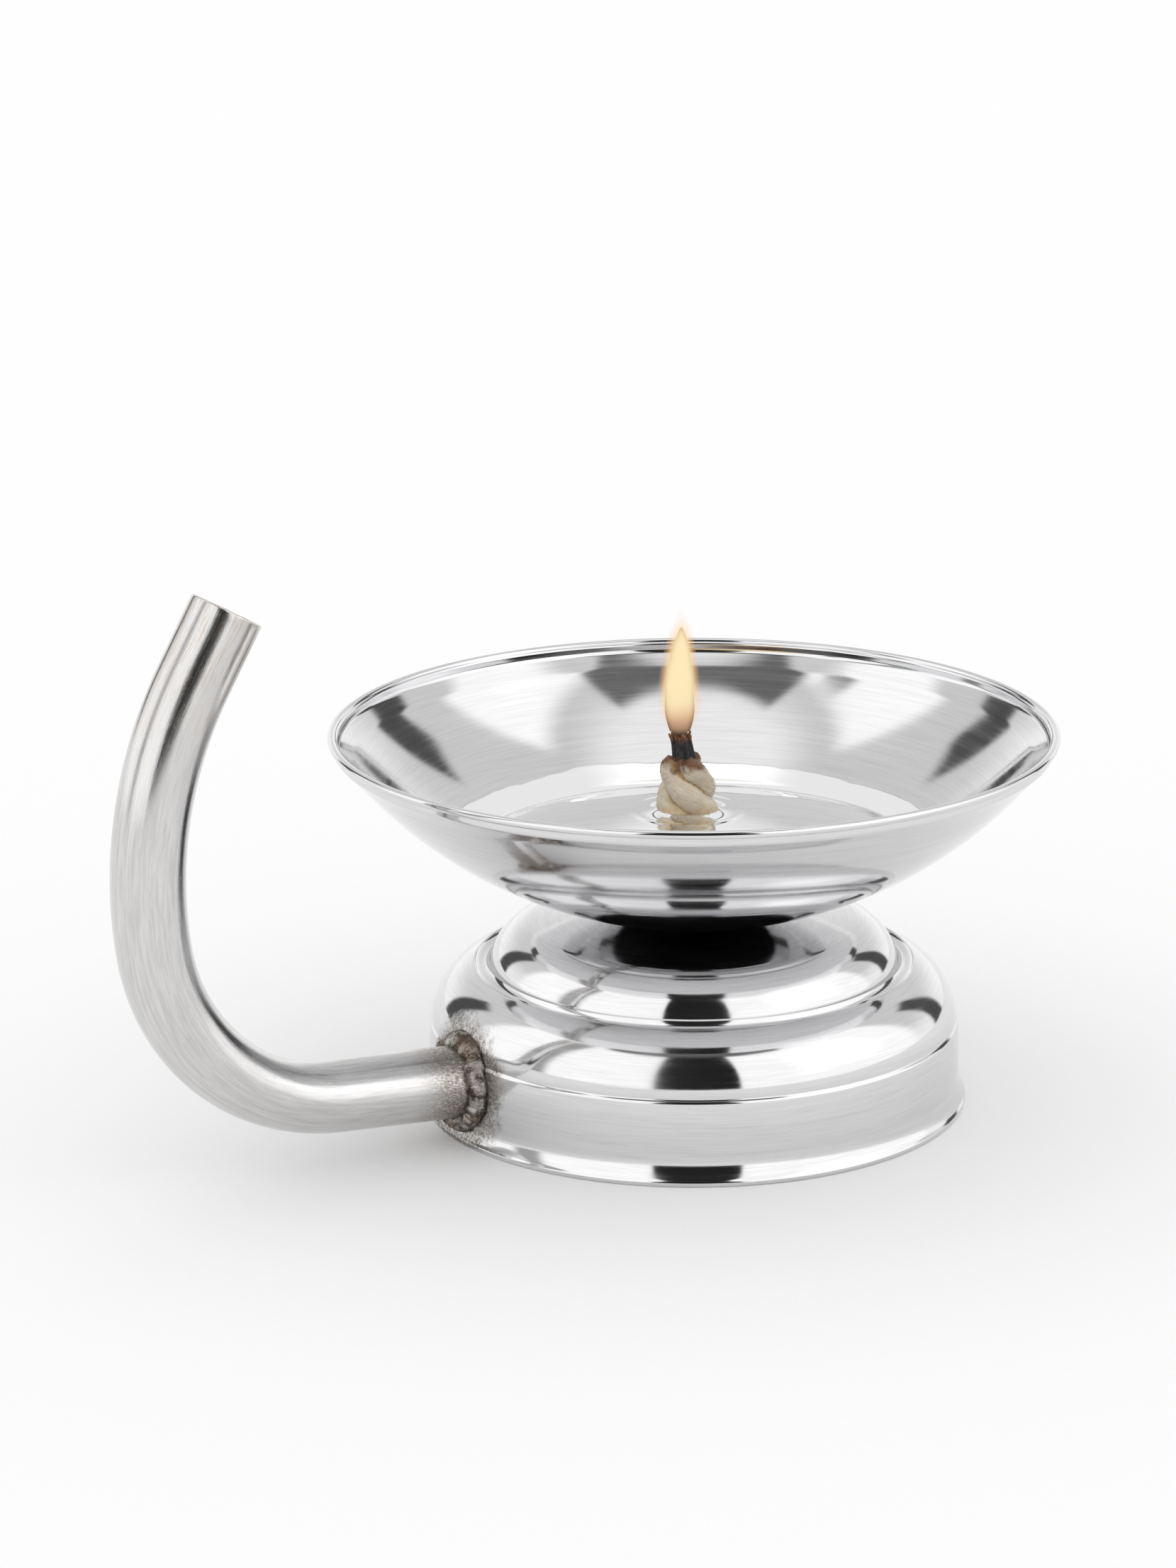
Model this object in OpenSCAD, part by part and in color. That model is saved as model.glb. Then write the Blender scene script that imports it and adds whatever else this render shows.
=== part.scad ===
// Stainless steel oil lamp: a shallow spun dish on a stepped hollow foot, with a bent tube handle
// welded to the foot. A thick twisted cotton wick stands in the oil, lit.
// Millimetres. The origin is on the axis of the dish, on the plane that the foot rests on.
// The handle lies in the XZ plane, towards -X.

/* [Dish] */
// Diameter of the dish over its rolled rim
dish_d = 96; // [90:1:110]
// Outer radius of the round bowl of the dish
bowl_r = 59; // [57:0.1:66]
// Thickness of the sheet of the dish
dish_sheet = 0.7; // [0.5:0.1:1]
// Diameter of the rolled bead on the rim
rim_bead_d = 1.1; // [1:0.1:1.5]
// Height of the upright band under the bead
rim_band_h = 1.45; // [1:0.1:3]
// Radial width of the lip turned out between the bowl and the band
lip_w = 1.5; // [0.8:0.1:2]
// Height of that lip
lip_h = 1.25; // [0.8:0.05:2]
// Diameter of the flat on which the dish sits on its foot
seat_d = 10.6; // [9:0.2:14]

/* [Foot] */
// Height of the foot, from its resting plane to the seat of the dish
foot_h = 25.9; // [24.5:0.1:29]
// Thickness of the sheet of the foot
foot_sheet = 0.7; // [0.5:0.1:1]
// Diameter of the upper tier at its widest
tier_d = 54.4; // [50:0.2:56]
// Radius of the rounded shoulder of the upper tier
tier_round = 6.7; // [5.5:0.1:7.5]
// Radius of the slight crown of the top of the foot
crown_r = 170; // [140:5:400]
// Height of the ledge between the two tiers
ledge_h = 19.5; // [18.8:0.1:20]
// Radius of the groove that runs round the upper tier
groove_r = 1.15; // [0.7:0.05:1.4]
// Diameter of the straight wall of the foot
wall_d = 70.6; // [68:0.2:76]
// Height at which the wall turns into the lower shoulder
wall_h = 11.3; // [10.8:0.1:12]
// How far the wall leans in over its upper half
wall_taper = 0.2; // [0.1:0.05:0.4]
// Size of the crease between the wall and the lower shoulder
crease = 0.3; // [0.2:0.05:0.4]
// Height of the flared part at the bottom of the wall
flare_h = 3.9; // [3:0.1:4.5]
// Radius of the flare's sweep
flare_r = 6.9; // [6:0.1:10]
// Diameter of the rolled hem that the foot stands on
hem_d = 1.2; // [1:0.1:1.6]
// How much of the hem is ground flat
hem_flat = 0.1; // [0.05:0.01:0.2]

/* [Handle] */
// Outer diameter of the handle tube
tube_d = 9.5; // [8:0.5:10.5]
// Wall of the handle tube
tube_wall = 1; // [0.8:0.1:1.5]
// Height of the tube's axis where it meets the wall of the foot
handle_z = 8; // [7.8:0.05:9]
// Rise of the straight stretch of the tube, in degrees
handle_rise = 3.5; // [0:0.1:6]
// Length of the straight stretch, from the wall of the foot
straight_l = 17.4; // [15:0.1:30]
// Centre line radius of the lower bend
lower_bend_r = 27.2; // [25:0.1:36]
// Turn of the lower bend, in degrees
lower_bend_a = 77.6; // [72:0.1:90]
// Centre line radius of the long upper sweep
upper_bend_r = 53.7; // [45:0.1:80]
// Turn of the upper sweep, in degrees
upper_bend_a = 38.6; // [20:0.1:45]
// Length of the straight stretch at the free end
end_l = 9.5; // [5:0.1:20]
// Leg of the fillet weld round the tube
weld_leg = 2.2; // [1.5:0.1:2.4]

/* [Spot welds] */
// Number of spot welds between dish and foot
spot_n = 3; // [2:1:4]
// Diameter of one spot weld
spot_d = 2.4; // [1.6:0.1:3]
// Diameter of the circle that the spot welds lie on
spot_ring_d = 5.6; // [5:0.1:6]
// Depth of the fused metal in each sheet
spot_depth = 0.35; // [0.2:0.05:0.4]

/* [Oil] */
// Height of the oil's surface over the floor at the middle of the dish
oil_depth = 8.2; // [7:0.05:11]

/* [Wick] */
// Distance of the wick from the axis of the dish
wick_off = 17; // [0:0.5:18]
// Bearing of the wick from the axis, in degrees from +X
wick_bearing = 62.7; // [0:0.1:360]
// Bearing towards which the burnt tip leans, in degrees from +X
lean_bearing = 150; // [0:1:360]
// Diameter of the twisted wick at the surface of the oil
wick_d = 8.6; // [7:0.1:9.5]
// Diameter of the twisted wick just under its burnt tip
wick_neck_d = 4.4; // [3.5:0.1:5]
// Height of the twisted part over the surface of the oil
wick_rise = 7.2; // [6:0.1:12]
// Length along which one cotton ply winds once round the wick
wick_lay = 11.4; // [9:0.1:16]
// Number of cotton plies
ply_n = 3; // [3:1:3]
// Diameter of the spread cotton base
base_d = 10.4; // [9.6:0.1:12]
// Height of the burnt tip
tip_h = 3.8; // [3:0.1:6]
// Diameter of the burnt tip at its top
tip_d = 2.5; // [1.8:0.1:3.2]
// How far the tip leans over
tip_lean = 1.1; // [0:0.05:2]

/* [Flame] */
// Height of the flame over the burnt tip
flame_h = 17.3; // [12:0.1:24]
// Diameter of the flame at its widest
flame_d = 5.8; // [4:0.1:8]
// Height over the burnt tip at which the flame is widest
flame_belly = 3.6; // [2:0.1:5]

/* [Hidden] */
$fn = 96;

// Clearance between the loose wick and the metal and oil round it
loose_gap = 0.3;
// Overlap that lets cutting solids run past the faces they cut
past = 1;

dish_r = dish_d / 2;
bead_r = rim_bead_d / 2;
bowl_in_r = bowl_r - dish_sheet;
seat_r = seat_d / 2;
bowl_cz = foot_h + sqrt(pow(bowl_r, 2) - pow(seat_r, 2));
band_out_r = dish_r - bead_r - bead_r / 5;
lip_out_r = band_out_r - lip_w;
// Height of the bowl's outer face where its radius is r
function bowl_z(r) = bowl_cz - sqrt(pow(bowl_r, 2) - pow(r, 2));
// Height of the bowl's inner face where its radius is r
function floor_z(r) = bowl_cz - sqrt(pow(bowl_in_r, 2) - pow(r, 2));
lip_z = bowl_z(lip_out_r);
crease_z = lip_z + lip_h;
bead_z = crease_z + rim_band_h;

tier_r = tier_d / 2;
tier_cx = tier_r - tier_round;
// The crown's face is at the seat's height where the seat ends, and the shoulder runs on from it smoothly
crown_cz = foot_h - sqrt(pow(crown_r, 2) - pow(seat_r, 2));
tier_cz = crown_cz + sqrt(pow(crown_r - tier_round, 2) - pow(tier_cx, 2));
wall_r = wall_d / 2;
shoulder_r = ledge_h - wall_h;
shoulder_cx = wall_r - wall_taper - crease - shoulder_r;
// The tier's face is narrower than its widest where it meets the ledge
tier_foot_r = tier_cx + sqrt(pow(tier_round, 2) - pow(ledge_h - tier_cz, 2));
groove_cx = tier_foot_r + groove_r;
hem_r = hem_d / 2;
hem_cz = hem_r - hem_flat;
flare_drop = flare_h - hem_cz;
flare_out_r = wall_r + flare_r - sqrt(pow(flare_r, 2) - pow(flare_drop, 2));
hem_cx = flare_out_r - hem_r;

tube_r = tube_d / 2;
// The straight stretch starts this far inside the wall, so that the cope can cut it to fit
cope_in = 6;
// The stretches of the tube run into each other this far, and the tight bend is drawn in a little
bend_run = 0.4;
bend_draw = 0.02;

oil_z = floor_z(0) + oil_depth;
wick_x = wick_off * cos(wick_bearing);
wick_y = wick_off * sin(wick_bearing);
base_r = base_d / 2;
// The cotton base is just high enough to stand clear of the rising floor all round
base_top_z = floor_z(wick_off + base_r) + 2 * loose_gap;
ply_top_z = oil_z + wick_rise;
tip_top_z = ply_top_z + tip_h;
well_r = max(base_r, wick_d / 2) + loose_gap;
// Centre distance of a ply in its own radii: just more than touching, so that plies stay separate
ply_spread = 1.17;
ply_sides = 16;
ply_rings = 32;
tip_sides = 20;
tip_rings = 10;
flame_rings = 14;

module dish_profile() {
    difference() {
        intersection() {
            translate([0, bowl_cz])
                circle(r = bowl_r);
            translate([0, foot_h])
                square([dish_r, lip_z - foot_h]);
        }
        translate([0, bowl_cz])
            circle(r = bowl_in_r);
    }
    // The lip starts on the cut end of the bowl, with the same slanted thickness
    lip_in_r = sqrt(pow(bowl_in_r, 2) - pow(bowl_cz - lip_z, 2));
    band_in_r = band_out_r - dish_sheet;
    polygon([[lip_in_r, lip_z], [lip_out_r, lip_z], [band_out_r, crease_z], [band_out_r, bead_z],
             [band_in_r, bead_z], [band_in_r, crease_z + dish_sheet / 2]]);
    translate([band_out_r - dish_sheet / 2, bead_z])
        circle(r = dish_sheet / 2);
    translate([dish_r - bead_r, bead_z])
        circle(r = bead_r);
}

// The outside of the foot as a filled half section. in = 0 gives the outer face, in = the sheet the inner face
module foot_section(in) {
    difference() {
        union() {
            translate([tier_cx, tier_cz])
                circle(r = tier_round - in);
            intersection() {
                square([tier_cx * crown_r / (crown_r - tier_round), foot_h - in]);
                translate([0, crown_cz])
                    circle(r = crown_r - in, $fn = 720);
            }
            square([tier_r - in, min(tier_cz, ledge_h - in)]);
            translate([shoulder_cx, wall_h])
                circle(r = shoulder_r - in);
            square([shoulder_cx, ledge_h - in]);
            polygon([[0, 0], [wall_r - in, 0], [wall_r - in, (wall_h + flare_h) / 2],
                     [wall_r - wall_taper - in, wall_h - crease], [wall_r - wall_taper - crease - in, wall_h],
                     [0, wall_h]]);
        }
        translate([groove_cx, ledge_h])
            circle(r = groove_r + in);
    }
}

// The swept bottom of the wall as a filled half section
module flare_fill() {
    difference() {
        translate([0, hem_cz])
            square([flare_out_r, flare_drop]);
        translate([wall_r + flare_r, flare_h])
            circle(r = flare_r);
    }
}

module flare_section() {
    intersection() {
        flare_fill();
        translate([wall_r + flare_r, flare_h])
            circle(r = flare_r + foot_sheet);
    }
}

module hem_section() {
    intersection() {
        translate([hem_cx, hem_cz])
            circle(r = hem_r);
        translate([hem_cx - hem_d, 0])
            square([2 * hem_d, hem_d]);
    }
}

module foot_profile() {
    difference() {
        foot_section(0);
        foot_section(foot_sheet);
        square([wall_r, flare_h]);
    }
    flare_section();
    hem_section();
}

// The space that the foot fills, for what is fitted to its outside
module foot_solid() {
    rotate_extrude() {
        difference() {
            foot_section(0);
            square([wall_r + past, flare_h]);
        }
        flare_fill();
        hem_section();
        translate([0, -wall_h])
            square([hem_cx, wall_h + hem_cz]);
    }
}

module at_spot_welds() {
    for (k = [0:spot_n - 1])
        rotate([0, 0, k * 360 / spot_n])
            translate([spot_ring_d / 2, 0, foot_h])
                children();
}

// The fused metal reaches the same depth into both sheets
module spot_nugget() {
    translate([0, 0, -spot_depth])
        cylinder(h = 2 * spot_depth, d = spot_d);
}

// Local frame at the wall of the foot: +X runs out along the tube, +Z up
module at_handle() {
    translate([-wall_r, 0, handle_z])
        rotate([0, 0, 180])
            rotate([0, -handle_rise, 0])
                children();
}

// A length of tube along +X. draw is how far it is drawn in from its full diameter
module tube_run(length, draw) {
    rotate([0, 90, 0])
        difference() {
            cylinder(h = length, d = tube_d - draw);
            translate([0, 0, -past])
                cylinder(h = length + 2 * past, d = tube_d - 2 * tube_wall - draw);
        }
}

// A bend that starts along +X at the origin and turns upwards
module tube_bend(r, a, draw) {
    translate([0, 0, r])
        rotate([90, 0, 0])
            rotate([0, 0, -90])
                rotate_extrude(angle = a)
                    translate([r, 0])
                        difference() {
                            circle(d = tube_d - draw);
                            circle(d = tube_d - 2 * tube_wall - draw);
                        }
}

// Local frame after such a bend
module after_bend(r, a) {
    translate([r * sin(a), 0, r * (1 - cos(a))])
        rotate([0, -a, 0])
            children();
}

// Distance of the middle of the wick from its foot point, at height z, towards lean_bearing
function lean(z) = tip_lean * pow(max(0, (z - oil_z) / (tip_top_z - oil_z)), 1.6);

// Radius of the whole twisted wick at height z: even taper, then a rounded shoulder under the tip
function wick_r(z) =
    let(t = (z - oil_z) / wick_rise,
        side = wick_d / 2 * (1 - 0.26 * max(0, min(t, 1)) / 0.85))
    t < 0.85 ? side : wick_neck_d / 2 + (side - wick_neck_d / 2) * sqrt(max(0, 1 - pow((t - 0.85) / 0.15, 2)));

// One ring of a ply, in its own horizontal plane
function ply_ring(z, turn) =
    let(a = wick_r(z) / (1 + ply_spread),
        c = turn - 360 * (z - base_top_z) / wick_lay,
        x = lean(z) + ply_spread * a * cos(c),
        y = ply_spread * a * sin(c))
    [for (k = [0:ply_sides - 1]) [x + a * cos(360 * k / ply_sides), y + a * sin(360 * k / ply_sides), z]];

// Rings stand closer together on the rounded shoulder
function ply_z(k) = base_top_z + (ply_top_z - base_top_z) * sin(90 * k / (ply_rings - 1));

// Radius of the burnt tip over its height t from 0 to 1: it is drawn in, then frays open a little
function tip_r(t) =
    let(neck = wick_neck_d / 2 - 0.15)
    tip_d / 2 + (neck - tip_d / 2) * pow(1 - t, 1.5) - 0.25 * sin(180 * t);

function tip_ring(t) =
    let(z = ply_top_z + tip_h * t)
    [for (k = [0:tip_sides - 1])
        [lean(z) + tip_r(t) * cos(360 * k / tip_sides), tip_r(t) * sin(360 * k / tip_sides), z]];

// A closed solid through rings of n points each, lowest ring first
module skin(rings, n) {
    m = len(rings);
    polyhedron(
        points = [for (ring = rings) each ring],
        faces = concat(
            [[for (k = [0:n - 1]) k]],
            [for (j = [0:m - 2], k = [0:n - 1])
                [j * n + k, (j + 1) * n + k, (j + 1) * n + (k + 1) % n]],
            [for (j = [0:m - 2], k = [0:n - 1])
                [j * n + k, (j + 1) * n + (k + 1) % n, j * n + (k + 1) % n]],
            [[for (k = [n - 1:-1:0]) (m - 1) * n + k]]));
}

// Local frame of the wick: its middle is on the Z axis and +X is the way it leans
module at_wick() {
    translate([wick_x, wick_y, 0])
        rotate([0, 0, lean_bearing])
            children();
}

module wick_ply(number) {
    at_wick()
        skin([for (k = [0:ply_rings - 1]) ply_ring(ply_z(k), 360 * number / ply_n)], ply_sides);
}

module dish() {
    color("gainsboro")
        difference() {
            rotate_extrude()
                dish_profile();
            at_spot_welds()
                spot_nugget();
        }
}

module stepped_foot() {
    color("silver")
        difference() {
            rotate_extrude()
                foot_profile();
            at_spot_welds()
                spot_nugget();
        }
}

module handle_tube() {
    color("lightgray")
        difference() {
            at_handle() {
                translate([-cope_in, 0, 0])
                    tube_run(cope_in + straight_l + bend_run, 0);
                translate([straight_l, 0, 0]) {
                    tube_bend(lower_bend_r, lower_bend_a + bend_run / lower_bend_r * 180 / PI, bend_draw);
                    after_bend(lower_bend_r, lower_bend_a) {
                        tube_bend(upper_bend_r, upper_bend_a, 0);
                        after_bend(upper_bend_r, upper_bend_a)
                            translate([-bend_run, 0, 0])
                                tube_run(end_l + bend_run, bend_draw);
                    }
                }
            }
            foot_solid();
        }
}

module handle_weld() {
    color("dimgray")
        difference() {
            at_handle()
                rotate([0, 90, 0]) {
                    cylinder(h = weld_leg, r1 = tube_r + weld_leg, r2 = tube_r);
                    translate([0, 0, -cope_in / 2])
                        cylinder(h = cope_in / 2, r = tube_r + weld_leg);
                }
            at_handle()
                translate([-cope_in, 0, 0])
                    rotate([0, 90, 0])
                        cylinder(h = 2 * cope_in, d = tube_d);
            foot_solid();
        }
}

module dish_spot_welds() {
    color("gray")
        at_spot_welds()
            spot_nugget();
}

module oil_pool() {
    color("goldenrod", 0.7)
        difference() {
            intersection() {
                translate([0, 0, bowl_cz])
                    sphere(r = bowl_in_r, $fn = 240);
                translate([0, 0, oil_z - oil_depth - past])
                    cylinder(h = oil_depth + past, r = dish_r);
            }
            at_wick()
                translate([0, 0, foot_h])
                    cylinder(h = oil_z, r = well_r);
        }
}

module wick_foot() {
    color("blanchedalmond")
        intersection() {
            at_wick()
                translate([0, 0, foot_h])
                    cylinder(h = base_top_z - foot_h, r = base_r);
            translate([0, 0, bowl_cz])
                sphere(r = bowl_in_r - loose_gap, $fn = 240);
        }
}

module wick_ply_1() {
    color("wheat")
        wick_ply(1);
}

module wick_ply_2() {
    color("moccasin")
        wick_ply(2);
}

module wick_ply_3() {
    color("antiquewhite")
        wick_ply(3);
}

module wick_burnt_tip() {
    color("black")
        at_wick()
            skin([for (k = [0:tip_rings - 1]) tip_ring(k / (tip_rings - 1))], tip_sides);
}

// Radius of the flame at height z over the burnt tip: it opens to the belly, then closes to a point
function flame_r(z) =
    z < flame_belly
        ? flame_d / 2 * (0.7 + 0.3 * sin(90 * z / flame_belly))
        : flame_d / 2 * pow(1 - pow((z - flame_belly) / (flame_h - flame_belly), 2), 0.75);

// The flame stands on the tip with its lower end cut off flat
module flame() {
    step = flame_h / flame_rings;
    color("gold", 0.8)
        at_wick()
            translate([lean(tip_top_z), 0, tip_top_z])
                rotate_extrude()
                    polygon([[0, 0], for (k = [0:flame_rings - 1]) [flame_r(k * step), k * step], [0, flame_h]]);
}

dish();
stepped_foot();
handle_tube();
handle_weld();
dish_spot_welds();
oil_pool();
wick_foot();
wick_ply_1();
wick_ply_2();
wick_ply_3();
wick_burnt_tip();
flame();
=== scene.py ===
import math

import bmesh
import bpy
import numpy as np
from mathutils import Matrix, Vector


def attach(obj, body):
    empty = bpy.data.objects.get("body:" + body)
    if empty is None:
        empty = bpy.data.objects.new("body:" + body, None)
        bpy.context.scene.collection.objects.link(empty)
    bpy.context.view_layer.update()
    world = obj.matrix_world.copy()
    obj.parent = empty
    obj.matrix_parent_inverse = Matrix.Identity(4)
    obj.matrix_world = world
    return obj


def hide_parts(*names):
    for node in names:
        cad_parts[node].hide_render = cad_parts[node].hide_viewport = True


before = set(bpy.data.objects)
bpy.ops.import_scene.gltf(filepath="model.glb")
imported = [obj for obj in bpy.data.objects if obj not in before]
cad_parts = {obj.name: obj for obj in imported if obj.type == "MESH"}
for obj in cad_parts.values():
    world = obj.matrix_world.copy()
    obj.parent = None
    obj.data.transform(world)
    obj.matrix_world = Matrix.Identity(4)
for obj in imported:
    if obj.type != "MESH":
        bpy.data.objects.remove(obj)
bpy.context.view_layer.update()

MM = 0.001

# Sizes in millimetres, on the axis of the dish and foot, standing on z = 0
DISH_R = 48.0
BOWL_R = 59.0
SHEET = 0.7
BEAD_R = 0.55
BAND_H = 1.45
LIP_W = 1.5
LIP_H = 1.25
SEAT_R = 5.3
FOOT_H = 25.9
TIER_R = 27.2
TIER_ROUND = 6.7
CROWN_R = 170.0
LEDGE_H = 19.5
GROOVE_R = 1.15
WALL_R = 35.3
WALL_H = 11.3
CREASE = 0.3
WALL_TAPER = 0.2
FLARE_H = 3.9
FLARE_R = 6.9
HEM_R = 0.6
HEM_Z = 0.5
BOWL_CZ = FOOT_H + math.sqrt(BOWL_R ** 2 - SEAT_R ** 2)
SHOULDER_R = LEDGE_H - WALL_H
SHOULDER_CX = WALL_R - WALL_TAPER - CREASE - SHOULDER_R

TUBE_R = 4.75
TUBE_WALL = 1.0
HANDLE_Z = 8.0
HANDLE_RISE = 3.5
STRAIGHT_L = 17.4
LOWER_BEND = (27.2, 77.6)
UPPER_BEND = (53.7, 38.6)
END_L = 9.5
WELD_LEG = 2.1

OIL_Z = 34.56
SHORE_R = 29.8
FILM_R = 33.0
WICK = Vector((7.8, 15.1, 0.0))
WICK_LEAN = math.radians(150.0)
WICK_R = 4.3
NECK_R = 2.2
PLY_BASE_Z = 31.35
PLY_TOP_Z = 41.76
WICK_LAY = 14.0
TIP_TOP_Z = 45.56
TIP_LEAN = 1.1
FLAME_H = 17.3
FLAME_R = 2.9
FLAME_BELLY = 3.6

# The camera: its bearing and pitch in degrees, its distance out and height in metres, and the
# photograph's width, focal length and sideways shift in its own pixels
CAMERA_BEARING = 240.0
CAMERA_PITCH = 16.02
CAMERA_OUT = 0.67
CAMERA_UP = 0.2355
PHOTO_WIDTH = 1659
PHOTO_FOCAL = 7475
PHOTO_SHIFT = 149.5


# Meshes

def solid(name, points, faces, merge=1e-7):
    """A closed mesh from points in millimetres, seams merged, faces outwards, smooth."""
    mesh = bpy.data.meshes.new(name)
    mesh.from_pydata([tuple(float(c) * MM for c in p) for p in points], [], faces)
    bm = bmesh.new()
    bm.from_mesh(mesh)
    bmesh.ops.remove_doubles(bm, verts=bm.verts, dist=merge)
    bmesh.ops.recalc_face_normals(bm, faces=bm.faces)
    bm.to_mesh(mesh)
    bm.free()
    mesh.polygons.foreach_set("use_smooth", [True] * len(mesh.polygons))
    piece = bpy.data.objects.new(name, mesh)
    bpy.context.scene.collection.objects.link(piece)
    return piece


def arc(cx, cz, r, start, end, count):
    """Points of a circular arc in the half-section, angles in degrees."""
    return [(cx + r * math.cos(math.radians(a)), cz + r * math.sin(math.radians(a)))
            for a in np.linspace(start, end, count)]


def soften(points, cut, steps=5, sharp=12):
    """Rounds every corner of a half-section that is sharper than so many degrees."""
    points = [np.array(p, float) for p in points]
    out = [points[0]]
    for before, here, after in zip(points, points[1:], points[2:]):
        a, b = before - here, after - here
        la, lb = np.linalg.norm(a), np.linalg.norm(b)
        turn = math.degrees(math.pi - math.acos(np.clip(a @ b / (la * lb), -1, 1)))
        if turn < sharp:
            out.append(here)
            continue
        reach = min(cut, 0.45 * la, 0.45 * lb)
        s, e = here + a / la * reach, here + b / lb * reach
        for t in np.linspace(0, 1, steps):
            out.append((1 - t) ** 2 * s + 2 * t * (1 - t) * here + t * t * e)
    out.append(points[-1])
    return np.array(out)


def spun(name, section, around=256):
    """Turns a half-section round the axis. Points on the axis become one pole."""
    turns = np.linspace(0, 2 * math.pi, around, endpoint=False)
    points, rings = [], []
    for r, z in section:
        if r < 1e-6:
            rings.append([len(points)])
            points.append((0, 0, z))
        else:
            rings.append(range(len(points), len(points) + around))
            points += [(r * math.cos(a), r * math.sin(a), z) for a in turns]
    return solid(name, points, joined(rings))


def joined(rings):
    """Faces between neighbouring rings of point numbers."""
    faces = []
    for a, b in zip(rings, rings[1:]):
        for k in range(max(len(a), len(b))):
            n = (k + 1) % max(len(a), len(b))
            if len(a) == 1:
                faces.append((a[0], b[k], b[n]))
            elif len(b) == 1:
                faces.append((a[k], b[0], a[n]))
            else:
                faces.append((a[k], b[k], b[n], a[n]))
    return faces


def waves(turn, seed, lowest, highest):
    """A smooth, unrepeating ripple round a ring, from -1 to 1."""
    rng = np.random.default_rng(seed)
    total = np.zeros_like(turn)
    weight = 0
    for n in range(lowest, highest + 1):
        size = 1 / math.sqrt(n)
        total += size * np.sin(n * turn + rng.uniform(0, 2 * math.pi))
        weight += size * 0.6
    return np.clip(total / weight, -1, 1)


# Spun dish and foot

def bowl_z(r, radius):
    return BOWL_CZ - math.sqrt(radius ** 2 - r * r)


def dish_section():
    band = DISH_R - BEAD_R * 1.2
    lip = band - LIP_W
    lip_z = bowl_z(lip, BOWL_R)
    step_z = lip_z + LIP_H
    bead_z = step_z + BAND_H
    bead_x = DISH_R - BEAD_R
    inner = BOWL_R - SHEET
    lip_in = math.sqrt(inner ** 2 - (BOWL_CZ - lip_z) ** 2)
    seat = math.degrees(math.asin(SEAT_R / BOWL_R))
    edge = math.degrees(math.asin(lip / BOWL_R))
    edge_in = math.degrees(math.asin(lip_in / inner))
    leave = -math.degrees(math.acos((band - bead_x) / BEAD_R))
    under = [(0, FOOT_H), (SEAT_R, FOOT_H)] + arc(0, BOWL_CZ, BOWL_R, seat - 90, edge - 90, 84)[1:]
    rim = [(band, step_z)] + arc(bead_x, bead_z, BEAD_R, leave, 165, 24)
    inside = [(band - SHEET, bead_z - 0.1), (band - SHEET, step_z + SHEET / 2), (lip_in, lip_z)]
    floor = arc(0, BOWL_CZ, inner, edge_in - 90, -90, 84)[1:]
    return soften(under + rim + inside + floor, 0.35)


def foot_outline():
    """Outside of the foot, from the axis at the top to the ground side of the hem."""
    tier_x = TIER_R - TIER_ROUND
    crown_z = FOOT_H - math.sqrt(CROWN_R ** 2 - SEAT_R ** 2)
    tier_z = crown_z + math.sqrt((CROWN_R - TIER_ROUND) ** 2 - tier_x ** 2)
    groove_x = tier_x + math.sqrt(TIER_ROUND ** 2 - (LEDGE_H - tier_z) ** 2) + GROOVE_R
    crown_a = math.degrees(math.asin(SEAT_R / CROWN_R))
    tier_a = math.degrees(math.asin(tier_x / (CROWN_R - TIER_ROUND)))
    ledge_a = math.degrees(math.asin((LEDGE_H - tier_z) / TIER_ROUND))
    groove = [p for p in arc(groove_x, LEDGE_H, GROOVE_R, 180, 360, 60)
              if math.hypot(p[0] - SHOULDER_CX, p[1] - WALL_H) < SHOULDER_R]
    shoulder_a = math.degrees(math.acos((groove[-1][0] - SHOULDER_CX) / SHOULDER_R))
    flare_x = WALL_R + FLARE_R
    hem_x = flare_x - math.sqrt(FLARE_R ** 2 - (FLARE_H - HEM_Z) ** 2) - HEM_R
    ground_a = -math.degrees(math.asin(HEM_Z / HEM_R))
    top = [(0, FOOT_H), (SEAT_R, FOOT_H)] + arc(0, crown_z, CROWN_R, 90 - crown_a, 90 - tier_a, 20)[1:]
    tier = arc(tier_x, tier_z, TIER_ROUND, 90 - tier_a, ledge_a, 40)[1:]
    shoulder = arc(SHOULDER_CX, WALL_H, SHOULDER_R, shoulder_a, 0, 48)
    wall = [(WALL_R - WALL_TAPER, WALL_H - CREASE), (WALL_R, (WALL_H + FLARE_H) / 2)]
    flare = [(flare_x - math.sqrt(FLARE_R ** 2 - (FLARE_H - z) ** 2), z) for z in np.linspace(FLARE_H, 1.0,
                                                                                              14)]
    hem = arc(hem_x, HEM_Z, HEM_R, 24, ground_a, 12)
    return soften(top + tier + groove[1:] + shoulder + wall + flare + hem, 0.22), hem_x


def foot_section():
    outside, hem_x = foot_outline()
    upper = outside[outside[:, 1] > 1.3]
    along = np.gradient(upper, axis=0)
    along /= np.linalg.norm(along, axis=1)[:, None]
    within = upper + SHEET * np.c_[along[:, 1], -along[:, 0]]
    kept = [p for p in within if np.hypot(*(upper - p).T).min() > 0.985 * SHEET]
    hem = arc(hem_x, HEM_Z, HEM_R, -123.5, -205, 8)
    return np.vstack([outside, hem, kept[::-1][:-1], [(0, FOOT_H - SHEET)]])


def foot_radius(z):
    """Radius of the outside of the foot at a height near the handle."""
    shoulder = SHOULDER_CX + math.sqrt(max(0.0, SHOULDER_R ** 2 - (z - WALL_H) ** 2))
    flare = WALL_R + FLARE_R - math.sqrt(FLARE_R ** 2 - max(0.0, FLARE_H - z) ** 2)
    return shoulder if z > WALL_H - CREASE / 2 else flare


# Bent handle and its weld

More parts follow.
